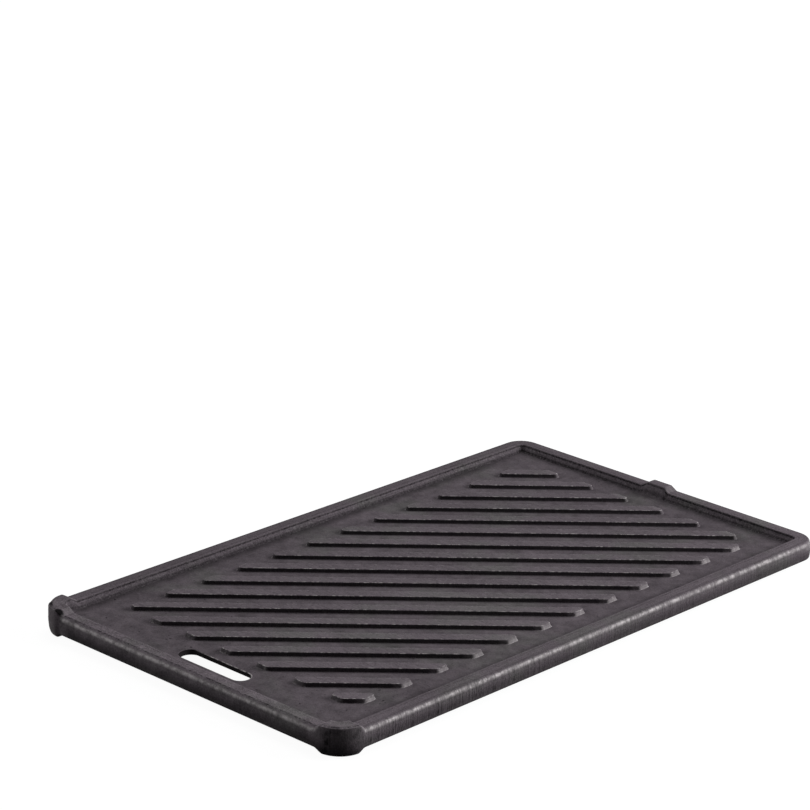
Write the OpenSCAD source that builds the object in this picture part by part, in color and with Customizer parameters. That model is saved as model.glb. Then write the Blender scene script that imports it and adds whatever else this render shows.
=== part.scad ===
// Camp griddle plate: a reversible iron casting, flat on one face and ribbed on the other.
// It lies ribbed face up. X runs across the plate and Y along it, with the slot at the front, toward -Y.
// Z = 0 is the ground under its lower feet, and the origin is under the middle of the plate.

/* [Plate] */
// Overall length, from the front face to the rear face
plate_l = 432; // [320:1:560]
// Overall width, from the left face to the right face
plate_w = 254; // [190:1:340]
// Thickness of the cooking plate between the two recesses
web_t = 2.8; // [2:0.1:6]
// Rounding of the cooking plate's corners in plan
web_corner_r = 0.8; // [0.5:0.1:6]

/* [Rim] */
// Height of the rim, from its lower face to its upper face
rim_h = 12; // [10:0.1:20]
// Width of the rim where its inner wall meets the cooking plate
rim_base_w = 12.5; // [9:0.1:18]
// Horizontal run of the inner wall for each millimetre that it rises
rim_draft = 0.45; // [0.2:0.01:0.6]
// How far the rounding of an outer edge reaches along the top and along the side
rim_edge = 2.8; // [1:0.1:3.5]
// Angle that this rounding makes with the top and the side, in degrees
rim_edge_angle = 10; // [4:1:20]
// Rounding of the inner edge
rim_inner_r = 1.2; // [0.4:0.1:1.5]
// Fillet between the inner wall and the cooking plate
rim_fillet_r = 2.2; // [0.8:0.1:3]

/* [Feet] */
// Height of a foot above the rim, the same on both faces
foot_h = 2.7; // [1.5:0.1:5]
// Length of a foot's sloped end along the rim
foot_ramp_l = 4.6; // [3:0.1:10]
// Length of the rear foot along its flat
rear_foot_l = 13.6; // [8:0.1:40]

/* [Slot] */
// Length of the slot across the plate
slot_l = 54; // [30:0.5:90]
// Width of the slot
slot_w = 12.2; // [8:0.1:20]
// Gap from the rim's fillet to the slot
slot_gap = 5.7; // [3:0.1:15]

/* [Ribs] */
// Number of ribs
rib_count = 18; // [10:1:24]
// Height of a rib above the cooking plate
rib_h = 2.4; // [1:0.1:4]
// Width of a rib along its top
rib_top_w = 7.5; // [4:0.1:10]
// Horizontal run of a rib's sloped side
rib_side_run = 0.65; // [0.2:0.05:1.5]
// Horizontal run of a rib's sloped end
rib_end_run = 1.3; // [0.3:0.05:3]
// Gap from the rim's fillet to the rib ends, at the sides and the rear
rib_margin = 17.6; // [8:0.1:30]
// Gap from the slot to the rib ends
rib_slot_gap = 7.9; // [4:0.1:20]
// Distance from the field's rear left corner to the middle of the first rib
first_rib_inset = 18.6; // [14:0.1:30]
// Distance from the field's front right corner to the middle of the last rib
last_rib_inset = 11.5; // [9:0.1:30]

/* [Hidden] */
$fn = 96;

// Heights, measured up or down from the middle of the plate's thickness
rim_top = rim_h / 2;
foot_top = rim_top + foot_h;
floor_top = web_t / 2;
mid_z = foot_top;

// The inner wall's slope, and how far a rounding reaches along each of the two faces that it joins
wall_angle = atan(1 / rim_draft);
round_reach = tan(wall_angle / 2);
web_edge = rim_base_w + rim_fillet_r * round_reach;
corner_r = web_edge + web_corner_r;

// A foot's slope, and the level length before it over which the foot's rounded edge bends down
ramp_angle = atan(foot_h / foot_ramp_l);
ramp_setback = rim_edge * tan(ramp_angle);
foot_end_l = ramp_setback + foot_ramp_l;

// Where the corners turn, and the straight lengths of rim between the feet
corner_x = plate_w / 2 - corner_r;
corner_y = plate_l / 2 - corner_r;
front_run = 2 * (corner_x - foot_end_l);
side_run = 2 * corner_y - foot_end_l;
rear_run = corner_x - rear_foot_l / 2 - foot_ramp_l;

slot_y = -plate_l / 2 + web_edge + slot_gap + slot_w / 2;

// The rectangle that the rib ends line up on
field_x = plate_w / 2 - web_edge - rib_margin;
field_front = slot_y + slot_w / 2 + rib_slot_gap;
field_rear = plate_l / 2 - web_edge - rib_margin;
field_mid = (field_front + field_rear) / 2;
field_half_l = (field_rear - field_front) / 2;

// Rib middles, measured square to the ribs from the middle of the plate
first_rib = -(field_x + field_rear) / sqrt(2) + first_rib_inset;
last_rib = (field_x - field_front) / sqrt(2) - last_rib_inset;
rib_pitch = (last_rib - first_rib) / (rib_count - 1);
rib_reach = plate_w + plate_l;

colour_plate = [0.27, 0.25, 0.25];
colour_rim = [0.33, 0.32, 0.32];
colour_foot = [0.38, 0.36, 0.36];
colour_rib = [0.31, 0.29, 0.29];

function rib_name(i) = str("sear_rib_", i < 10 ? "0" : "", i);

// Waste outside a rounded edge of radius r about the origin, between faces that look toward two directions
module edge_waste(r, from, to) {
    reach = 2 * r;
    tip = reach / cos((to - from) / 2);
    middle = (from + to) / 2;
    difference() {
        polygon([
            [0, 0],
            reach * [cos(from), sin(from)],
            tip * [cos(middle), sin(middle)],
            reach * [cos(to), sin(to)]
        ]);
        circle(r);
    }
}

// Waste outside the rounding of the rim's outer edge, with the sharp edge at the origin
module outer_edge_waste() {
    centre = rim_edge / (1 - tan(rim_edge_angle));
    difference() {
        translate([-rim_edge, -centre]) square(centre + rim_edge);
        translate([centre, -centre]) circle(centre / cos(rim_edge_angle));
    }
}

// The rim's section, the same on both faces: x runs inward from the outer face, y up from the plate's middle
module rim_section(top) {
    inner_edge = rim_base_w - (top - floor_top) * rim_draft;
    inner_round_x = inner_edge - rim_inner_r * round_reach;
    fillet = rim_fillet_r * round_reach;
    upper = [
        [0, top],
        [inner_edge, top],
        [rim_base_w - fillet * cos(wall_angle), floor_top + fillet * sin(wall_angle)],
        [web_edge, floor_top + rim_fillet_r]
    ];
    lower = [for (i = [len(upper) - 1 : -1 : 0]) [upper[i].x, -upper[i].y]];
    difference() {
        polygon(concat(upper, lower));
        for (face = [0, 1])
            mirror([0, face]) {
                translate([0, top]) outer_edge_waste();
                translate([inner_round_x, top - rim_inner_r]) edge_waste(rim_inner_r, 90 - wall_angle, 90);
                translate([web_edge, floor_top + rim_fillet_r]) circle(rim_fillet_r);
            }
    }
}

// Straight length of rim along X, with its outer face at y = 0 and the plate toward +Y
module rim_bar(from, to, top) {
    translate([from, 0, 0])
        rotate([90, 0, 90])
            linear_extrude(to - from) rim_section(top);
}

// Quarter turn of rim about the origin, from the direction given
module rim_corner(start, top) {
    rotate(start)
        rotate_extrude(angle = 90)
            translate([corner_r, 0]) mirror([1, 0]) rim_section(top);
}

// The space under a foot's slope on both faces, rounded along the outer edge as the rim is.
// The slope starts at x = 0, and plate_w is simply longer than any foot.
module under_slope() {
    intersection_for (face = [0, 1])
        mirror([0, 0, face])
            translate([0, 0, foot_top])
                rotate([0, ramp_angle, 0])
                    translate([-plate_w, 0, 0])
                        rotate([90, 0, 90])
                            linear_extrude(2 * plate_w)
                                difference() {
                                    translate([0, -plate_w]) square([corner_r, plate_w]);
                                    outer_edge_waste();
                                }
}

// Straight end of a foot on both faces: level from x = 0 for the length given, then sloped down to the rim
module foot_end(level_l) {
    intersection() {
        rim_bar(0, level_l + foot_ramp_l, foot_top);
        translate([level_l, 0, 0]) under_slope();
    }
    rim_bar(0, level_l + foot_ramp_l, rim_top);
}

// Right front corner foot, centred on the corner's own axis
module corner_foot() {
    rim_corner(-90, foot_top);
    translate([0, -corner_r, 0]) mirror([1, 0, 0]) foot_end(ramp_setback);
    translate([corner_r, 0, 0]) rotate(90) foot_end(ramp_setback);
}

module front_right_foot() {
    color(colour_foot)
        translate([corner_x, -corner_y, mid_z]) corner_foot();
}

module front_left_foot() {
    mirror([1, 0, 0]) front_right_foot();
}

module rear_foot() {
    color(colour_foot)
        translate([0, plate_l / 2, mid_z])
            rotate(180)
                for (side = [0, 1])
                    mirror([side, 0, 0]) foot_end(rear_foot_l / 2);
}

module front_rim() {
    color(colour_rim)
        translate([0, -plate_l / 2, mid_z]) rim_bar(-front_run / 2, front_run / 2, rim_top);
}

// Right side, rear right corner and the right half of the rear side in one run, laid out from the corner
module right_rim() {
    color(colour_rim)
        translate([corner_x, corner_y, mid_z]) {
            rim_corner(0, rim_top);
            translate([corner_r, 0, 0]) rotate(90) rim_bar(-side_run, 0, rim_top);
            translate([0, corner_r, 0]) rotate(180) rim_bar(0, rear_run, rim_top);
        }
}

module left_rim() {
    mirror([1, 0, 0]) right_rim();
}

// Rectangle with round corners, centred on the origin
module round_rectangle(w, l, r) {
    square([w - 2 * r, l], center = true);
    square([w, l - 2 * r], center = true);
    for (x = [-1, 1], y = [-1, 1])
        translate([x * (w / 2 - r), y * (l / 2 - r)]) circle(r);
}

module slot_outline() {
    straight = slot_l - slot_w;
    square([straight, slot_w], center = true);
    for (x = [-1, 1])
        translate([x * straight / 2, 0]) circle(d = slot_w);
}

module cooking_plate() {
    color(colour_plate)
        translate([0, 0, mid_z - floor_top])
            linear_extrude(web_t)
                difference() {
                    round_rectangle(plate_w - 2 * web_edge, plate_l - 2 * web_edge, web_corner_r);
                    translate([0, slot_y]) slot_outline();
                }
}

// Ridge along X with its foot on z = 0 and a section that narrows to its top
module ridge(half_base, run, length) {
    rotate([90, 0, 90])
        linear_extrude(length, center = true)
            polygon([
                [-half_base, 0],
                [half_base, 0],
                [half_base - run, rib_h],
                [-half_base + run, rib_h]
            ]);
}

// Rib number i, cut off square to the plate's sides with sloped ends
module sear_rib(i) {
    middle = first_rib + (i - 1) * rib_pitch;
    half_base = rib_top_w / 2 + rib_side_run;
    color(colour_rib)
        translate([0, 0, mid_z + floor_top])
            intersection() {
                rotate(45) translate([0, -middle, 0]) ridge(half_base, rib_side_run, rib_reach);
                translate([0, field_mid, 0]) ridge(field_half_l, rib_end_run, rib_reach);
                rotate(90) ridge(field_x, rib_end_run, rib_reach);
            }
}

cooking_plate();
front_rim();
left_rim();
right_rim();
front_left_foot();
front_right_foot();
rear_foot();
for (i = [1 : rib_count])
    sear_rib(i);
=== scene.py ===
import math

import bmesh
import bpy
from mathutils import Matrix, Vector


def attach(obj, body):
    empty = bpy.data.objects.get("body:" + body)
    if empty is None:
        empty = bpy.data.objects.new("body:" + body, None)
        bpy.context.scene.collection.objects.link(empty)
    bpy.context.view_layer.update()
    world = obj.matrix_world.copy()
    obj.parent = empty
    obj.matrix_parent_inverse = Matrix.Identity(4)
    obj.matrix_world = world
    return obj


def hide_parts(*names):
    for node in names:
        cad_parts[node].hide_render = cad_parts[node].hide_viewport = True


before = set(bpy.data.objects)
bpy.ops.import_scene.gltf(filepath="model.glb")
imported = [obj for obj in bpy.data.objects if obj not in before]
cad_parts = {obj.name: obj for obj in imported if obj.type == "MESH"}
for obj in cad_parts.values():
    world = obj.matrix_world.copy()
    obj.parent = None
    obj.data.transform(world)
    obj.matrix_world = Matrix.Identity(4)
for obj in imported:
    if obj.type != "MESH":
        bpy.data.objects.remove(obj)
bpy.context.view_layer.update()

# Sizes of the casting in millimetres, as the solids have them. The ground is z = 0, under the lower feet.
MM = 0.001
HALF_L = 216.0
HALF_W = 127.0
MID_Z = 8.7
FLOOR_H = 1.4
RIM_H = 6.0
WEB_EDGE = 13.92
WEB_X = HALF_W - WEB_EDGE
WEB_Y = HALF_L - WEB_EDGE
WEB_CORNER_R = 0.8
CORNER_R = WEB_EDGE + WEB_CORNER_R
CORNER_X = HALF_W - CORNER_R
CORNER_Y = HALF_L - CORNER_R
FOOT_H = 2.7
FOOT_RAMP = 4.6
FOOT_SETBACK = 1.64
FOOT_END = FOOT_RAMP + FOOT_SETBACK
REAR_FOOT = 13.6
SLOT_L = 54.0
SLOT_W = 12.2
SLOT_R = SLOT_W / 2
SLOT_STRAIGHT = SLOT_L / 2 - SLOT_R
SLOT_GAP = 5.7
SLOT_Y = -WEB_Y + SLOT_GAP + SLOT_R
RIB_MARGIN = 17.6
RIB_SLOT_GAP = 7.9
FIELD_X = WEB_X - RIB_MARGIN
FIELD_FRONT = SLOT_Y + SLOT_R + RIB_SLOT_GAP
FIELD_REAR = WEB_Y - RIB_MARGIN
FIELD_MID = (FIELD_FRONT + FIELD_REAR) / 2
FIELD_HALF_L = (FIELD_REAR - FIELD_FRONT) / 2
FIRST_RIB = -179.36
RIB_PITCH = 21.178
RIB_COUNT = 18
RIB_HALF_BASE = 4.4

# Where this casting is a little off the even layout: its front corners are rounder, its ribs sit to the right
# and the rear, its slot sits to the right, and its left foot is longer
FRONT_R = 17.4
FRONT_X = HALF_W - FRONT_R
FRONT_Y = HALF_L - FRONT_R
RIB_SHIFT = Vector((1.4, 1.4, 0.0))
SLOT_X = 1.2
LEFT_FOOT_MORE = 3.0


# Shader building


class Signal:
    """A socket of a finish's node tree that takes part in sums."""

    def __init__(self, finish, socket):
        self.finish = finish
        self.socket = socket

    def __add__(self, other):
        return self.finish.math("ADD", self, other)

    __radd__ = __add__

    def __sub__(self, other):
        return self.finish.math("SUBTRACT", self, other)

    def __rsub__(self, other):
        return self.finish.math("SUBTRACT", other, self)

    def __mul__(self, other):
        return self.finish.math("MULTIPLY", self, other)

    __rmul__ = __mul__

    def __truediv__(self, other):
        return self.finish.math("DIVIDE", self, other)

    def __abs__(self):
        return self.finish.math("ABSOLUTE", self, 0.0)


class Finish:
    """A material that is written as expressions on its signals."""

    def __init__(self, name):
        self.material = bpy.data.materials.new(name)
        self.material.use_nodes = True
        self.tree = self.material.node_tree
        self.tree.nodes.clear()

    def node(self, kind, settings=None, sockets=None, out=0):
        made = self.tree.nodes.new(kind)
        for name, value in (settings or {}).items():
            setattr(made, name, value)
        for name, value in (sockets or {}).items():
            if isinstance(value, Signal):
                self.tree.links.new(value.socket, made.inputs[name])
            else:
                made.inputs[name].default_value = value
        return Signal(self, made.outputs[out]) if made.outputs else None

    def math(self, operation, first, second):
        return self.node("ShaderNodeMath", {"operation": operation}, {0: first, 1: second})

    def place(self):
        return self.node("ShaderNodeTexCoord", out="Object")

    def part(self, axis):
        """One of the object's own coordinates in millimetres."""
        return self.node("ShaderNodeSeparateXYZ", {}, {"Vector": self.place()}, out=axis) / MM

    def plan(self):
        """The place in plan, in millimetres."""
        return self.part("X"), self.part("Y")

    def stretched(self, scale, turn):
        return self.node(
            "ShaderNodeMapping",
            {"vector_type": "POINT"},
            {"Vector": self.place(), "Rotation": (0.0, 0.0, turn), "Scale": scale},
        )

    def noise(self, vector, scale, detail=3.0, rough=0.6):
        return self.node(
            "ShaderNodeTexNoise",
            {"noise_dimensions": "3D"},
            {"Vector": vector, "Scale": scale, "Detail": detail, "Roughness": rough},
        )

    def vector(self, x, y):
        return self.node("ShaderNodeCombineXYZ", {}, {"X": x, "Y": y})

    def length(self, vector):
        return self.node("ShaderNodeVectorMath", {"operation": "LENGTH"}, {0: vector}, out="Value")

    def attribute(self, name):
        return self.node("ShaderNodeAttribute", {"attribute_name": name}, out="Fac")

    def ramp(self, value, low, high, to_low=0.0, to_high=1.0):
        return self.node(
            "ShaderNodeMapRange",
            {"interpolation_type": "SMOOTHSTEP", "clamp": True},
            {"Value": value, "From Min": low, "From Max": high, "To Min": to_low, "To Max": to_high},
        )

    def band(self, value, centre, half_width):
        return self.ramp(abs(value - centre), half_width, 0.0)

    def blend(self, share, first, second):
        settings = {"data_type": "RGBA", "clamp_factor": True}
        return self.node("ShaderNodeMix", settings, {0: share, 6: first, 7: second}, out=2)

    def output(self, surface):
        self.node("ShaderNodeOutputMaterial", {}, {"Surface": surface})


# Finishes

PLUM = (1.07, 0.91, 1.03)
OLIVE = (1.03, 0.955, 0.985)
# Bare metal also colours the painted highlights, and the soot level the painted shade
BARE_METAL_AND_HIGHLIGHT = (0.42, 0.395, 0.40, 1.0)
SOOT_AND_SHADE_LEVEL = 0.006
DARKEST = 0.55
LIGHTEST = 1.45

# How many of each fit in a metre
SAND = 1150.0
LUMPS = 330.0
TINTS = 26.0
CLOUDS = 15.0

# Depth of the sand in metres
SAND_DEPTH = 0.0004


def tinted(tint, level):
    return tuple(level * share for share in tint) + (1.0,)


def seasoned_iron(name, tone, grain, detail):
    """Sandy seasoned iron. detail(finish) returns its wear with painted highlights, its streaks, and its soot
    with painted shade, each about 0 to 1.
    """
    f = Finish(name)
    place = f.place()
    sand = f.noise(place, SAND, rough=0.65)
    lumps = f.noise(place, LUMPS)
    cloud = f.noise(place, CLOUDS, detail=4.0)
    tint = f.ramp(f.noise(place, TINTS, rough=0.55), 0.48, 0.7)
    wear_and_highlight, streaks, soot_and_shade = detail(f)
    shade = streaks + (sand - 0.5) * grain + (lumps - 0.5) * 0.5 + (cloud - 0.5) * 0.7
    dark = f.blend(tint, tinted(PLUM, tone * DARKEST), tinted(OLIVE, tone * DARKEST))
    light = f.blend(tint, tinted(PLUM, tone * LIGHTEST), tinted(OLIVE, tone * LIGHTEST))
    body = f.blend(soot_and_shade, f.blend(shade, dark, light), tinted(PLUM, SOOT_AND_SHADE_LEVEL))
    height = sand * 0.6 + lumps * 0.8 + streaks * 0.5
    bump = f.node("ShaderNodeBump", {}, {"Strength": grain * 0.3, "Distance": SAND_DEPTH, "Height": height})
    shader = f.node(
        "ShaderNodeBsdfPrincipled",
        {},
        {
            "Base Color": f.blend(wear_and_highlight, body, BARE_METAL_AND_HIGHLIGHT),
            "Metallic": wear_and_highlight * 0.6,
            "Roughness": 0.74 + (lumps - 0.5) * 0.3 - wear_and_highlight * 0.25,
            "Specular IOR Level": 0.03,
            "Normal": bump,
        },
    )
    f.output(shader)
    return f.material


def rib_plan(f):
    """The place in plan, measured as the ribs lie."""
    x, y = f.plan()
    return x - RIB_SHIFT.x, y - RIB_SHIFT.y


# Width of the painted shade along the foot of the rim, in millimetres
RIM_SHADE_W = 8.5


def plate_detail(f):
    """A worn lip on the slot with a painted highlight, painted shade in its wall, along the rim, toward the
    rear and beside the ribs, and soot in small pits.
    """
    x, y = f.plan()
    rib_x, rib_y = rib_plan(f)
    specks = f.ramp(f.noise(f.place(), 300.0, rough=0.7), 0.4, 0.62)
    # Bare metal on the slot's lip, which also stands in as a painted highlight, fuller at its right end
    lip = f.ramp(x, -20.0, -6.0) * specks * 0.85 + f.ramp(x, SLOT_L / 2 - 4.0, SLOT_L / 2) * 0.6
    wear_and_highlight = f.attribute("wear") * lip

    rear = f.ramp(y, 150.0, 190.0)
    front = f.ramp(y, -190.0, -200.0)
    # Painted shade on the plate along the foot of the rim, less at the rear and none at the front
    rim_shade = f.ramp(f.math("MINIMUM", WEB_X - abs(x), WEB_Y - abs(y)), RIM_SHADE_W, -0.5)
    # Painted shade on the plate beside each rib, inside the field
    square = (rib_x - rib_y) * math.sqrt(0.5) - FIRST_RIB
    beside = f.ramp(f.math("PINGPONG", square, RIB_PITCH / 2), 7.4, 4.2)
    beside = beside * f.ramp(abs(rib_x), FIELD_X + 1.0, FIELD_X - 4.0)
    beside = beside * f.ramp(abs(rib_y - FIELD_MID), FIELD_HALF_L + 1.0, FIELD_HALF_L - 4.0)
    pits = f.ramp(f.noise(f.place(), 430.0, detail=2.0), 0.66, 0.73) * f.ramp(y, -60.0, -180.0, 0.35, 0.75)
    # Painted shade in the slot's wall, along the rim and toward the rear, and beside the ribs, with soot in
    # small pits
    soot_and_shade = f.attribute("wall") * 0.9 + rim_shade * (0.5 - rear * 0.3 - front * 0.55)
    soot_and_shade = soot_and_shade + rear * 0.13 + beside * 0.35 + pits
    return wear_and_highlight, f.noise(f.place(), 120.0), soot_and_shade


def rib_detail(f):
    """Streaks along the ribs, worn edges and ends with a painted highlight on the ends, and painted shade on
    their walls and toward the rear left.
    """
    x, y = rib_plan(f)
    streaks = f.noise(f.stretched((90.0, 1300.0, 900.0), math.radians(-45.0)), 1.0)
    specks = f.ramp(f.noise(f.place(), 420.0, rough=0.7), 0.45, 0.68)
    # The ends get bare metal that also stands in as a painted highlight of their lit facets
    sides = f.ramp(abs(x), FIELD_X - 0.9, FIELD_X - 0.3)
    front = f.ramp(FIELD_MID - y, FIELD_HALF_L - 1.5, FIELD_HALF_L - 0.8)
    ends = f.ramp(f.math("MAXIMUM", x - FIELD_X, y - FIELD_REAR), -5.0, -2.5)
    wear_and_highlight = f.attribute("wear") * specks * 0.8 + sides * (0.26 + specks * 0.2)
    wear_and_highlight = wear_and_highlight + front * (0.04 + specks * 0.2) + ends * 0.05
    # Painted shade on the rib's walls, less at the ends, and darker toward the rear left
    soot_and_shade = f.attribute("wall") * 0.5 * (1.0 - ends) + f.ramp(y - x, -150.0, 250.0) * 0.14
    return wear_and_highlight, streaks, soot_and_shade


# Places on the rim's section, as the distance along it from the middle of the outer side, and on the plate
OUTER_EDGE = 4.35
KEEN_EDGE = 6.6
TOP_START = 7.3
TOP_GROOVE = 7.6
INNER_GROOVE = 12.4
INNER_SEAM = 15.6
INNER_WALL = 16.0
WALL_FOOT = 18.0
FRONT_FROM = -196.0
# Where a painted shadow lies, by the left foot's slope on the front
RAMP_SHADOW_AT = (-106.8, -214.4)


def grinding_marks(f, across, along, front):
    """Scratches across the outer side, and the streaks that they make with lines along the top."""
    bumps = f.noise(f.place(), 110.0)
    scratches = f.noise(f.vector(along * 1.2, across * 0.07), 1.0, rough=0.65)
    scratches = scratches + front * 0.75 * (bumps - scratches)
    lines = 0.22 + f.noise(f.vector(along * 0.06, across * 1.6), 1.0, rough=0.65) * 0.56
    lines = lines + front * 0.6 * (bumps - lines)
    streaks = (f.ramp(across, 5.0, 8.0) * (lines - scratches) + scratches - 0.5) * 2.2 + 0.5
    return scratches, streaks


def edge_wear_and_highlight(f, side, scratches):
    """Bare metal along the outer edges, also as a painted highlight on the upper face. Its painted sheen
    reaches further down the side at the rear right corner.
    """
    x, y = f.plan()
    across = abs(side)
    keen = f.attribute("keen")
    # Painted sheen: the rear right corner is lighter further down its side
    corner = f.ramp(x + y, 322.0, 331.0)
    edge = f.band(across, OUTER_EDGE, 2.15) * (1.0 - keen * 0.85) * (1.0 - corner * 0.45)
    edge = edge + f.band(across, KEEN_EDGE, 0.8) * keen * 0.5
    edge = edge + f.band(across, 2.0, 2.6) * (0.14 + corner * 0.3)
    specks = f.noise(f.place(), 260.0, rough=0.7)
    broken = f.ramp(specks * 0.65 + scratches * 0.35, 0.38, 0.62, 0.33, 0.82)
    # The painted highlight fades to a tenth on the lower half of the side
    return edge * f.ramp(side, -2.0, 1.5, 0.1, 1.0) * broken


def rim_wear_and_painted_light(f):
    """Grinding marks, the bare metal along the outer edges with a painted highlight, painted shade down the
    outer side, toward the left and away from the front, painted light on the front's top and the left foot's
    low side, the front side darker toward the right, and dark nicks.
    """
    x, y = f.plan()
    side = f.attribute("across")
    across = abs(side)
    along = f.attribute("along")
    front = f.ramp(y, FRONT_FROM, FRONT_FROM - 10.0)
    scratches, streaks = grinding_marks(f, across, along, front)
    # Painted light on the left front foot's low side, as bare metal and less shade
    left = front * f.ramp(x, -92.0, -108.0)
    bare_and_painted_light = f.attribute("slope") * 0.1 + left * f.ramp(side, 3.0, -2.0) * 0.12

    # Painted shade: darker toward the left, whose inner wall is painted lighter instead, and darker
    # everywhere but the front
    painted_falloff = f.ramp(x, 60.0, -125.0) * (0.17 - f.band(across, INNER_WALL, 3.0) * 0.27)
    painted_falloff = painted_falloff + f.ramp(y, -210.0, -150.0) * 0.17
    # Painted shade down the lower half of the outer side, most at the front and least on the left foot
    low = f.ramp(side, 1.0, -6.5) * (0.44 + front * 0.36 - left * 0.8)
    # Painted light: the front's top lighter
    front_top_light = front * f.ramp(across, 6.5, 8.0) * 0.07
    # The front side darker toward the right
    right = front * f.ramp(x, 0.0, 110.0) * f.ramp(across, 5.5, 3.0) * 0.1
    nicks = f.ramp(scratches, 0.5, 0.36) * f.ramp(across, 5.0, 3.0)
    nicks = nicks * f.ramp(y, 0.0, -150.0) * f.ramp(x, 96.0, 114.0)
    clusters = f.ramp(f.noise(f.vector(along * 0.09, 3.0), 1.0, 2.0, 0.5), 0.4, 0.6, 0.15, 0.95)
    return edge_wear_and_highlight(f, side, scratches) + bare_and_painted_light, streaks, low + painted_falloff - front_top_light + nicks * clusters + right


def rim_detail(f):
    """The rim's wear with its grooves, its rough inner wall and sooty seam, painted shade at the foot of the
    inner wall and along the top's outer edge, and a painted shadow by the left foot's slope.
    """
    x, y = f.plan()
    wear_and_highlight, streaks, soot_and_shade = rim_wear_and_painted_light(f)
    across = abs(f.attribute("across"))
    along = f.attribute("along")
    dots = f.ramp(f.noise(f.vector(along * 0.45, across * 0.2), 1.0, rough=0.7), 0.4, 0.62)
    front = f.ramp(y, FRONT_FROM, FRONT_FROM - 8.0)
    grooves = f.band(across, TOP_GROOVE, 0.9) * front * (0.05 + dots * 0.65)
    grooves = grooves + f.band(across, INNER_GROOVE, 0.55) * dots * 0.4
    seam = f.band(across, INNER_SEAM, 0.9) * (0.35 + dots * 0.4)
    rough = f.ramp(across, 14.0, 15.2) + front * f.ramp(across, 6.0, 7.0, 0.0, 0.8)
    pits = f.ramp(f.noise(f.place(), 560.0, rough=0.75), 0.56, 0.42)
    bright = f.ramp(f.noise(f.place(), 610.0, rough=0.75), 0.55, 0.68)
    # Painted shadow where the left foot's slope meets the front
    ramp_shadow = f.ramp(f.length(f.vector(x - RAMP_SHADOW_AT[0], y - RAMP_SHADOW_AT[1])), 3.4, 1.6)
    # Less painted shade and fewer pits at the rear foot's pad and by the left foot
    eased_at_feet = (1.0 - f.attribute("pad") * 0.6) * f.ramp(x, -118.0, -108.0, 0.6, 1.0)
    # Painted shade at the foot of the inner wall, with pits on the rough wall
    wall_foot_shade_and_pits = (f.ramp(across, WALL_FOOT, WALL_FOOT + 1.2) * 0.36 + rough * pits * 0.25) * eased_at_feet
    # Painted shade where the outer edge meets the top
    marks_and_shade = f.band(across, TOP_START, 1.4) * 0.18 + grooves + seam + wall_foot_shade_and_pits + ramp_shadow * f.ramp(across, 4.0, 6.0)
    wear_and_highlight = (wear_and_highlight + rough * bright * (0.12 + front * 0.1)) * (1.0 - ramp_shadow)
    return wear_and_highlight, streaks, soot_and_shade + marks_and_shade


plate_iron = seasoned_iron("plate_iron", 0.073, 1.2, plate_detail)
rib_iron = seasoned_iron("rib_iron", 0.095, 1.4, rib_detail)
rim_iron = seasoned_iron("rim_iron", 0.107, 2.0, rim_detail)
foot_iron = seasoned_iron("foot_iron", 0.107, 2.0, rim_detail)


# Modelling

UP = Vector((0, 0, 1))
SMOOTH_UP_TO = math.radians(42.0)


def add_object(name, data):
    made = bpy.data.objects.new(name, data)
    bpy.context.scene.collection.objects.link(made)
    return made


def finish_piece(bm, name, node, material):
    bmesh.ops.remove_doubles(bm, verts=bm.verts, dist=0.001)
    bmesh.ops.recalc_face_normals(bm, faces=bm.faces)
    bmesh.ops.scale(bm, vec=(MM, MM, MM), verts=bm.verts)
    mesh = bpy.data.meshes.new(name)
    bm.to_mesh(mesh)
    bm.free()
    mesh.shade_smooth()
    mesh.set_sharp_from_angle(angle=SMOOTH_UP_TO)
    mesh.materials.append(material)
    piece = add_object(name, mesh)
    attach(piece, "root")
    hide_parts(node)


def bevel(bm, geom, size, affect, segments=4):
    """Rounds edges or corners and returns the vertices that this makes."""
    return bmesh.ops.bevel(
        bm, geom=geom, offset=size, offset_type="OFFSET", segments=segments, profile=0.5,
        affect=affect, material=-1, clamp_overlap=False,
    )["verts"]


def bisect(bm, point, out, clear_outer=False):
    geom = bm.verts[:] + bm.edges[:] + bm.faces[:]
    bmesh.ops.bisect_plane(
        bm, geom=geom, plane_co=point, plane_no=out, clear_outer=clear_outer, dist=0.0001
    )


def only(kind, geom):
    return [g for g in geom if isinstance(g, kind)]


def smooth_step(t):
    t = min(max(t, 0.0), 1.0)
    return t * t * (3.0 - 2.0 * t)


def along_rim(x, y):
    """Distance along the outline from the middle of the front, to the left and to the right."""
    side = math.copysign(1.0, x)
    x = abs(x)
    front_turn = FRONT_R * math.pi / 2
    rear_turn = CORNER_R * math.pi / 2
    if y < -FRONT_Y:
        if x <= FRONT_X:
            return side * x
        return side * (FRONT_X + FRONT_R * math.atan2(x - FRONT_X, -FRONT_Y - y))
    if y <= CORNER_Y:
        return side * (FRONT_X + front_turn + FRONT_Y + y)
    length = FRONT_X + front_turn + FRONT_Y + CORNER_Y
    if x > CORNER_X:
        return side * (length + CORNER_R * math.atan2(y - CORNER_Y, x - CORNER_X))
    return side * (length + rear_turn + CORNER_X - x)


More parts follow.
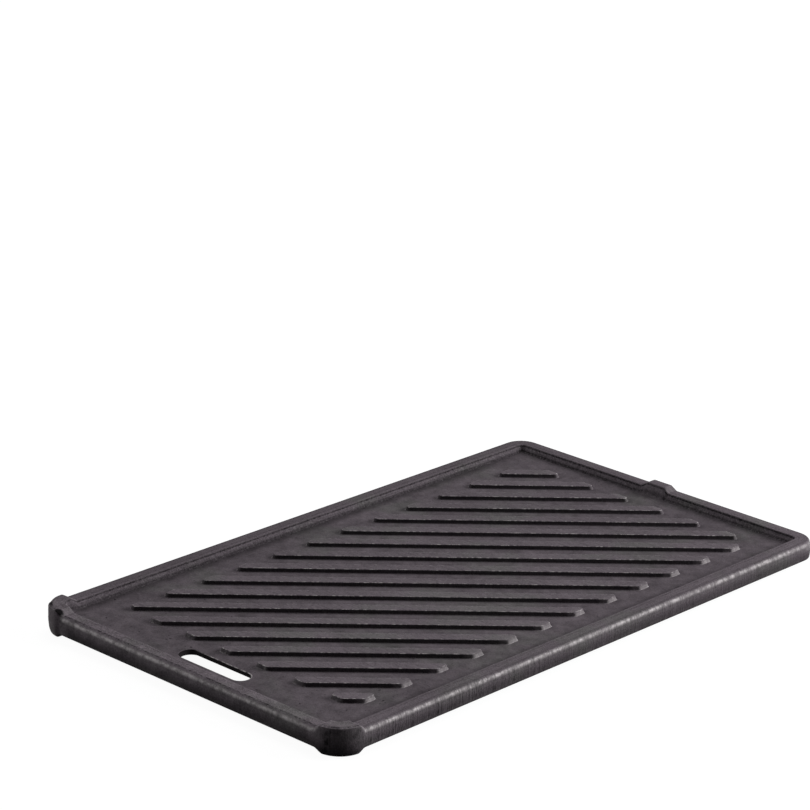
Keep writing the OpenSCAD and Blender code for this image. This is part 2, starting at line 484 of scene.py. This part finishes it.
# The rim's section as distance in from the outer face, height from the plate's middle, and rounding.
# The outer side bulges a little, and the inner wall is steep under its edge and again at its foot.
OUTER_SIDE = [
    (0.1, 1.0, 0.8), (0.33, 2.6, 0.7), (0.68, 3.9, 0.6),
    (1.13, 4.9, 0.5), (1.75, 5.6, 0.4), (2.8, RIM_H, 0.5),
]
INNER_SIDE = [
    (10.43, RIM_H, 0.5), (10.75, 4.7, 0.4), (12.15, 2.7, 0.4),
    (12.5, FLOOR_H, 0.85), (WEB_EDGE, FLOOR_H, 0.0),
]
LOWER_OUTER_SIDE = [(0.1, -2.6, 1.8), (0.4, -4.9, 0.0), (0.55, -RIM_H, 0.9)]
UPPER_RIM = OUTER_SIDE + INNER_SIDE
LOWER_RIM = LOWER_OUTER_SIDE + [(d, -h, r) for d, h, r in INNER_SIDE]


def rim_face(bm, corner, inward):
    """The rim's section as one face: corner is its outer middle point and inward points to the plate."""
    across = bm.verts.layers.float.new("across")
    bm.verts.layers.float.new("along")
    points = [(0.0, 0.0, 0.0)] + UPPER_RIM + LOWER_RIM[::-1]
    verts = [bm.verts.new(corner + inward * d + UP * h) for d, h, r in points]
    bm.faces.new(verts)
    for vert, (d, h, r) in zip(verts, points):
        if r:
            bevel(bm, [vert], r, "VERTICES")
    face = bm.faces[:][0]
    ring = [loop.vert for loop in face.loops]
    start = min(range(len(ring)), key=lambda i: (ring[i].co - corner).length)
    ring = ring[start:] + ring[:start]
    if ring[1].co.z < ring[0].co.z:
        ring = [ring[0]] + ring[:0:-1]
    for step in (1, -1):
        length = 0.0
        for i in range(1, len(ring)):
            vert, before = ring[step * i], ring[step * (i - 1)]
            if (vert.co.z - MID_Z) * step < 0:
                break
            length += (vert.co - before.co).length
            vert[across] = step * length
    return face


def pull(bm, face, offset, steps=1):
    """Extrudes the section in equal steps and returns its new end."""
    for _ in range(steps):
        made = bmesh.ops.extrude_face_region(bm, geom=[face])["geom"]
        face = only(bmesh.types.BMFace, made)[0]
        bmesh.ops.translate(bm, vec=offset / steps, verts=face.verts)
    return face


def turn(bm, face, centre, steps):
    """Spins the section a quarter turn about an upright axis and returns its new end."""
    geom = [face] + face.edges[:] + face.verts[:]
    made = bmesh.ops.spin(bm, geom=geom, cent=centre, axis=UP, angle=math.pi / 2, steps=steps)["geom_last"]
    return only(bmesh.types.BMFace, made)[0]


def measure_along(bm):
    along = bm.verts.layers.float["along"]
    for vert in bm.verts:
        vert[along] = along_rim(vert.co.x, vert.co.y)


# How finely the section is pulled and turned
LEG_STEPS = 14
FRONT_TURN_STEPS = 40
REAR_TURN_STEPS = 20
REAR_FOOT_STEPS = 44

# A foot's first slope is longer below than above. The lift fades in over FOOT_FADE above the plate's face,
# and the outer edge reaches FOOT_EDGE in. That edge may be keen, and the side below it is drawn in.
LOWER_RAMP = FOOT_RAMP * 1.35
FOOT_FADE = 2.4
FOOT_EDGE = 3.6
FOOT_EDGE_FADE = 0.8
KEEN_END_FADE = 8.0
KEEN_FROM = 0.5
KEEN_FADE = 1.5
KEEN_OUT = 0.85
KEEN_UP = 0.6
DRAWN_FROM = 1.5
DRAWN_FADE = 4.5
DRAWN_IN = 0.75
SLOPE_ENDS = 0.05
SLOPE_DEPTH = 0.6


def foot_rise(co, start, end):
    """How much of a foot's height is reached, between the ends of its slopes along the outline."""
    place = abs(along_rim(co.x, co.y))
    first_ramp = FOOT_RAMP if co.z > MID_Z else LOWER_RAMP
    return min(max(min((place - start) / first_ramp, (end - place) / FOOT_RAMP), 0.0), 1.0)


def past_turn(value, turn_from):
    """How far a coordinate lies past the place where the front corners start to turn."""
    return math.copysign(max(abs(value) - turn_from, 0.0), value)


def lift_foot(bm, start, end, keen_end):
    """Raises a section's upper edges over a foot and lowers its lower ones. It is keen up to keen_end."""
    keen = bm.verts.layers.float.new("keen")
    slope = bm.verts.layers.float.new("slope")
    for vert in bm.verts:
        rise = foot_rise(vert.co, start, end)
        height = vert.co.z - MID_Z
        if height < 0.0:
            rise = smooth_step(rise)
        share = smooth_step((abs(height) - FLOOR_H) / FOOT_FADE)
        out = Vector((past_turn(vert.co.x, FRONT_X), past_turn(vert.co.y, FRONT_Y), 0.0))
        depth = FRONT_R - out.length
        outer = rise * smooth_step((FOOT_EDGE - depth) / FOOT_EDGE_FADE)
        keenness = smooth_step((keen_end - abs(along_rim(vert.co.x, vert.co.y))) / KEEN_END_FADE + 0.5)
        sharp = outer * keenness * smooth_step((height - KEEN_FROM) / KEEN_FADE)
        drawn = outer * smooth_step((-height - DRAWN_FROM) / DRAWN_FADE)
        on_slope = SLOPE_ENDS < rise < 1.0 - SLOPE_ENDS and height > RIM_H - SLOPE_DEPTH
        vert[keen] = rise * keenness
        vert[slope] = 1.0 if on_slope else 0.0
        vert.co += out.normalized() * (depth * KEEN_OUT * sharp - DRAWN_IN * drawn)
        vert.co.z += math.copysign(FOOT_H * share * rise + (RIM_H - abs(height)) * KEEN_UP * sharp, height)


def make_front_rim():
    bm = bmesh.new()
    reach = CORNER_X - FOOT_END
    face = rim_face(bm, Vector((LEFT_FOOT_MORE - reach, -HALF_L, MID_Z)), Vector((0, 1, 0)))
    pull(bm, face, Vector((2 * reach - LEFT_FOOT_MORE, 0, 0)))
    measure_along(bm)
    finish_piece(bm, "front_rim_casting", "front_rim", rim_iron)


def make_side_rim(side, foot_more, name):
    """A side of the rim, its rear corner and half of the rear. side is 1 on the right, -1 on the left."""
    bm = bmesh.new()
    foot_end = FOOT_END + foot_more
    face = rim_face(bm, Vector((HALF_W, foot_end - CORNER_Y, MID_Z)), Vector((-1, 0, 0)))
    face = pull(bm, face, Vector((0, 2 * CORNER_Y - foot_end, 0)))
    face = turn(bm, face, Vector((CORNER_X, CORNER_Y, 0)), REAR_TURN_STEPS)
    pull(bm, face, Vector((REAR_FOOT / 2 + FOOT_RAMP - CORNER_X, 0, 0)))
    bmesh.ops.scale(bm, vec=(side, 1, 1), verts=bm.verts)
    measure_along(bm)
    finish_piece(bm, name + "_casting", name, rim_iron)


# The longer foot's corner is blunter: from where, over what distance, and how much for each millimetre longer
BLUNT_FROM = 322.0
BLUNT_FADE = 10.8
BLUNT_MOVE = Vector((-0.2, 0.2, 0))


def make_front_foot(side, more, name):
    """A front corner foot. The longer one is keen only to the middle of its corner."""
    bm = bmesh.new()
    reach = CORNER_X - FOOT_END - more
    leg = FRONT_X - reach
    face = rim_face(bm, Vector((reach, -HALF_L, MID_Z)), Vector((0, 1, 0)))
    face = pull(bm, face, Vector((leg, 0, 0)), LEG_STEPS)
    face = turn(bm, face, Vector((FRONT_X, -FRONT_Y, 0)), FRONT_TURN_STEPS)
    pull(bm, face, Vector((0, leg, 0)), LEG_STEPS)
    measure_along(bm)
    end = reach + 2 * leg + FRONT_R * math.pi / 2
    keen_end = FRONT_X + FRONT_R * math.pi / 4 if more else end + leg
    lift_foot(bm, reach, end, keen_end)
    for vert in bm.verts:
        vert.co += BLUNT_MOVE * more * smooth_step((vert.co.x - vert.co.y - BLUNT_FROM) / BLUNT_FADE)
    bmesh.ops.scale(bm, vec=(side, 1, 1), verts=bm.verts)
    finish_piece(bm, name + "_casting", name, foot_iron)


# The rear foot's inner wall leans back at the top and swells at its base, over the pad's length
PAD_INSET = 2.0
PAD_FADE = 1.6
REAR_WALL = 9.3
REAR_LEAN = 1.9
REAR_SWELL = 0.7


def make_rear_foot():
    bm = bmesh.new()
    reach = REAR_FOOT / 2 + FOOT_RAMP
    face = rim_face(bm, Vector((reach, HALF_L, MID_Z)), Vector((0, -1, 0)))
    pull(bm, face, Vector((-2 * reach, 0, 0)), REAR_FOOT_STEPS)
    measure_along(bm)
    pad = bm.verts.layers.float.new("pad")
    for vert in bm.verts:
        rise = smooth_step((reach - PAD_INSET - abs(vert.co.x)) / PAD_FADE)
        vert[pad] = rise
        if HALF_L - vert.co.y > REAR_WALL:
            up = min((abs(vert.co.z - MID_Z) - FLOOR_H) / (RIM_H - FLOOR_H), 1.0)
            vert.co.y += (REAR_LEAN * max(up, 0.0) - REAR_SWELL) * rise
    middle = abs(along_rim(0.0, HALF_L))
    lift_foot(bm, middle - reach, middle + reach, 0.0)
    finish_piece(bm, "rear_foot_casting", "rear_foot", foot_iron)


# The slot's lip is rounded, and its left end is ground wider on the ribbed face than on the flat one
SLOT_SEGMENTS = 64
SLOT_LIP = 0.5
SLOT_APRON = 0.9
LIP_DEPTH = 0.3
GRIND_FROM = -18.5
GRIND_FADE = 5.0
GRIND_REACH = 1.0
GRIND_LEFT = 0.8
GRIND_REAR = 1.2
GRIND_LOWER = 0.7
NEARLY = 0.01


def near_slot(co, radius):
    x = max(abs(co.x - SLOT_X) - SLOT_STRAIGHT, 0.0)
    return math.hypot(x, co.y - SLOT_Y) < radius


def slot_loop(bm, radius):
    """A loop around the slot's middle line at a radius from it."""
    verts = bmesh.ops.create_circle(bm, cap_ends=False, segments=SLOT_SEGMENTS, radius=radius)["verts"]
    half_step = Matrix.Rotation(math.pi / SLOT_SEGMENTS, 3, "Z")
    bmesh.ops.rotate(bm, cent=(0, 0, 0), matrix=half_step, verts=verts)
    for vert in verts:
        vert.co.x += math.copysign(SLOT_STRAIGHT, vert.co.x)
    bmesh.ops.translate(bm, vec=(SLOT_X, SLOT_Y, MID_Z + FLOOR_H), verts=verts)
    return list({edge for vert in verts for edge in vert.link_edges})


def on_lip(edge):
    """Whether an edge runs along the slot's lip on the upper or the lower face."""
    first, second = edge.verts
    beside = all(near_slot(vert.co, SLOT_R + NEARLY) for vert in edge.verts)
    return beside and abs(first.co.z - second.co.z) < NEARLY


def grind_slot_end(bm):
    for vert in bm.verts:
        if near_slot(vert.co, SLOT_R + GRIND_REACH):
            left = smooth_step((GRIND_FROM - vert.co.x) / GRIND_FADE)
            rear = smooth_step((vert.co.y - SLOT_Y) / SLOT_W + 0.5)
            if vert.co.z > MID_Z:
                vert.co += Vector((-GRIND_LEFT, GRIND_REAR * rear, 0)) * left
            else:
                vert.co += Vector((GRIND_LOWER, 0, 0)) * left


def make_cooking_plate():
    bm = bmesh.new()
    wear = bm.verts.layers.float.new("wear")
    wall = bm.verts.layers.float.new("wall")
    lip = slot_loop(bm, SLOT_R)
    apron = slot_loop(bm, SLOT_R + SLOT_APRON)
    bmesh.ops.bridge_loops(bm, edges=lip + apron)
    corners = [(WEB_X, -WEB_Y), (WEB_X, WEB_Y), (-WEB_X, WEB_Y), (-WEB_X, -WEB_Y)]
    verts = [bm.verts.new((x, y, MID_Z + FLOOR_H)) for x, y in corners]
    outline = [bm.edges.new((verts[i], verts[i - 1])) for i in range(4)]
    bmesh.ops.triangle_fill(bm, edges=outline + apron, use_beauty=True)
    bmesh.ops.recalc_face_normals(bm, faces=bm.faces)
    made = bmesh.ops.extrude_face_region(bm, geom=bm.faces[:], use_keep_orig=True)["geom"]
    bmesh.ops.translate(bm, vec=UP * -2 * FLOOR_H, verts=only(bmesh.types.BMVert, made))
    rounded = [edge for edge in bm.edges if on_lip(edge)]
    for vert in bevel(bm, rounded, SLOT_LIP, "EDGES"):
        depth = abs(abs(vert.co.z - MID_Z) - FLOOR_H)
        vert[wear] = 1.0 if depth < LIP_DEPTH else 0.0
        vert[wall] = 1.0 if depth > LIP_DEPTH else 0.0
    grind_slot_end(bm)
    finish_piece(bm, "cooking_plate_casting", "cooking_plate", plate_iron)


# A rib's rings: how far each lies inside the foot of the rib's flare, its height, and how worn it is, the
# wear also standing in for a painted highlight on its top edge
RIB_RINGS = [
    (0.25, 0.05, 0.0), (0.4, 0.18, 0.0), (0.48, 0.45, 0.0), (0.74, 2.15, 0.0),
    (0.82, 2.35, 0.7), (0.95, 2.48, 1.0), (1.2, 2.54, 0.6), (1.45, 2.55, 0.0),
]
RIB_FLARE = 0.45
RIB_WALL_TOP = 2.2
SHARP_TIP = 1.0
TIP_CUT = 5.0
TIP_ROUND = 1.6
CORNER_ROUND = 1.3
END_CUT = 4.2
END_REACH = 9.0
END_LEAN = 0.2
LEAN_FROM = 0.4

# The four sides of the field that the ribs end on, with the flare outside it
FIELD_SIDES = [
    (Vector((FIELD_X + RIB_FLARE, 0, 0)), Vector((1, 0, 0))),
    (Vector((-FIELD_X - RIB_FLARE, 0, 0)), Vector((-1, 0, 0))),
    (Vector((0, FIELD_REAR + RIB_FLARE, 0)), Vector((0, 1, 0))),
    (Vector((0, FIELD_FRONT - RIB_FLARE, 0)), Vector((0, -1, 0))),
]


def rib_outline(bm, number):
    """A rib's foot as one face, cut to the field, with its sharp tips cut off and all its corners rounded."""
    half = RIB_HALF_BASE + RIB_FLARE
    reach = 2 * HALF_L
    ends = ((-reach, -half), (reach, -half), (reach, half), (-reach, half))
    bm.faces.new([bm.verts.new((x, y, 0)) for x, y in ends])
    middle = FIRST_RIB + (number - 1) * RIB_PITCH
    bmesh.ops.translate(bm, vec=(0, -middle, 0), verts=bm.verts)
    bmesh.ops.rotate(bm, cent=(0, 0, 0), matrix=Matrix.Rotation(math.pi / 4, 3, "Z"), verts=bm.verts)
    for point, out in FIELD_SIDES:
        bisect(bm, point, out, clear_outer=True)
    short = [edge for edge in bm.edges if edge.calc_length() < RIB_HALF_BASE]
    if short:
        bmesh.ops.collapse(bm, edges=short)
    tips = [v for v in bm.verts if v.link_loops[0].calc_angle() < SHARP_TIP]
    blunt = [v for v in bm.verts if v not in tips]
    cut = bevel(bm, tips, TIP_CUT, "VERTICES", segments=1)
    bevel(bm, cut, TIP_ROUND, "VERTICES")
    bevel(bm, blunt, CORNER_ROUND, "VERTICES")
    return bm.faces[:][0]


def raise_rings(bm, face):
    wear = bm.verts.layers.float.new("wear")
    wall = bm.verts.layers.float.new("wall")
    inset_before, height_before = 0.0, 0.0
    for inset, height, wear_and_highlight in RIB_RINGS:
        bmesh.ops.inset_individual(
            bm, faces=[face], use_even_offset=True,
            thickness=inset - inset_before, depth=height - height_before,
        )
        for vert in face.verts:
            vert[wear] = wear_and_highlight
            vert[wall] = 1.0 if height < RIB_WALL_TOP else 0.0
        inset_before, height_before = inset, height


def lean_ends(bm):
    """Leans the ends of a rib back along it."""
    for point, out in FIELD_SIDES:
        bisect(bm, point - out * END_CUT, out)
    for vert in bm.verts:
        near = [out for point, out in FIELD_SIDES if abs((point - vert.co).dot(out)) < END_REACH]
        if near and vert.co.z > LEAN_FROM:
            back = -sum(near[0])
            vert.co += Vector((back, back, 0)) * (vert.co.z - LEAN_FROM) * END_LEAN


def make_rib(number):
    bm = bmesh.new()
    raise_rings(bm, rib_outline(bm, number))
    lean_ends(bm)
    bmesh.ops.translate(bm, vec=RIB_SHIFT + UP * (MID_Z + FLOOR_H), verts=bm.verts)
    name = f"sear_rib_{number:02d}"
    finish_piece(bm, name + "_casting", name, rib_iron)


make_cooking_plate()
make_front_rim()
make_side_rim(1, 0.0, "right_rim")
make_side_rim(-1, LEFT_FOOT_MORE, "left_rim")
make_front_foot(1, 0.0, "front_right_foot")
make_front_foot(-1, LEFT_FOOT_MORE, "front_left_foot")
make_rear_foot()
for number in range(1, RIB_COUNT + 1):
    make_rib(number)


# Studio, in metres

FLOOR_SIZE = 9.0
FLOOR_DROP = 0.0001
FLOOR_GLOW = 0.945
GLOW_NEAR = 0.35
GLOW_FAR = 1.0
FLOOR_GREY = (0.09, 0.09, 0.09, 1.0)
WHITE = (1.0, 1.0, 1.0, 1.0)
AIR_GREY = (0.04, 0.04, 0.04, 1.0)

# Each lamp's name, place, width, height and power. All of them face the middle of the plate.
LAMPS = [
    ("rear_softbox", (-0.4, 0.6, 1.75), 1.2, 1.0, 17.0),
    ("right_softbox", (1.14, 1.42, 0.84), 0.9, 0.7, 46.0),
    ("left_softbox", (-1.5, -1.0, 0.9), 1.0, 0.8, 15.0),
]

CAMERA_PLACE = (1.279844, -1.402354, 0.793525)
CAMERA_TURN = (70.5036, -1.376467, 43.602411)
CAMERA_LENS = 148.966


def make_floor():
    bm = bmesh.new()
    below = Matrix.Translation((0, 0, -FLOOR_DROP))
    bmesh.ops.create_grid(bm, x_segments=1, y_segments=1, size=FLOOR_SIZE, matrix=below)
    mesh = bpy.data.meshes.new("studio_floor")
    bm.to_mesh(mesh)
    bm.free()
    f = Finish("studio_floor")
    rays = ("Camera", "Glossy", "Transmission")
    seen = sum(f.node("ShaderNodeLightPath", out=f"Is {ray} Ray") for ray in rays)
    far = f.ramp(f.length(f.place()), GLOW_NEAR, GLOW_FAR)
    strength = seen * (FLOOR_GLOW + far * (1.0 - FLOOR_GLOW))
    glow = f.node("ShaderNodeEmission", {}, {"Color": WHITE, "Strength": strength})
    paper = f.node("ShaderNodeBsdfDiffuse", {}, {"Color": FLOOR_GREY})
    f.output(f.node("ShaderNodeAddShader", {}, {0: glow, 1: paper}))
    mesh.materials.append(f.material)
    floor = add_object("studio_floor", mesh)


def make_lamp(name, place, width, height, power):
    lamp = bpy.data.lights.new(name, "AREA")
    lamp.shape = "RECTANGLE"
    lamp.size = width
    lamp.size_y = height
    lamp.energy = power
    holder = add_object(name, lamp)
    holder.location = place
    holder.rotation_euler = (-Vector(place)).to_track_quat("-Z", "Y").to_euler()


def make_camera():
    camera = bpy.data.cameras.new("camera")
    camera.lens = CAMERA_LENS
    camera.sensor_width = 36.0
    camera.clip_start = 0.1
    camera.clip_end = 50.0
    holder = add_object("camera", camera)
    holder.location = CAMERA_PLACE
    holder.rotation_euler = [math.radians(v) for v in CAMERA_TURN]
    bpy.context.scene.camera = holder


make_floor()
for lamp in LAMPS:
    make_lamp(*lamp)
make_camera()

scene = bpy.context.scene
world = bpy.data.worlds.new("studio")
world.use_nodes = True
world.node_tree.nodes["Background"].inputs["Color"].default_value = AIR_GREY
scene.world = world
scene.view_settings.view_transform = "Standard"
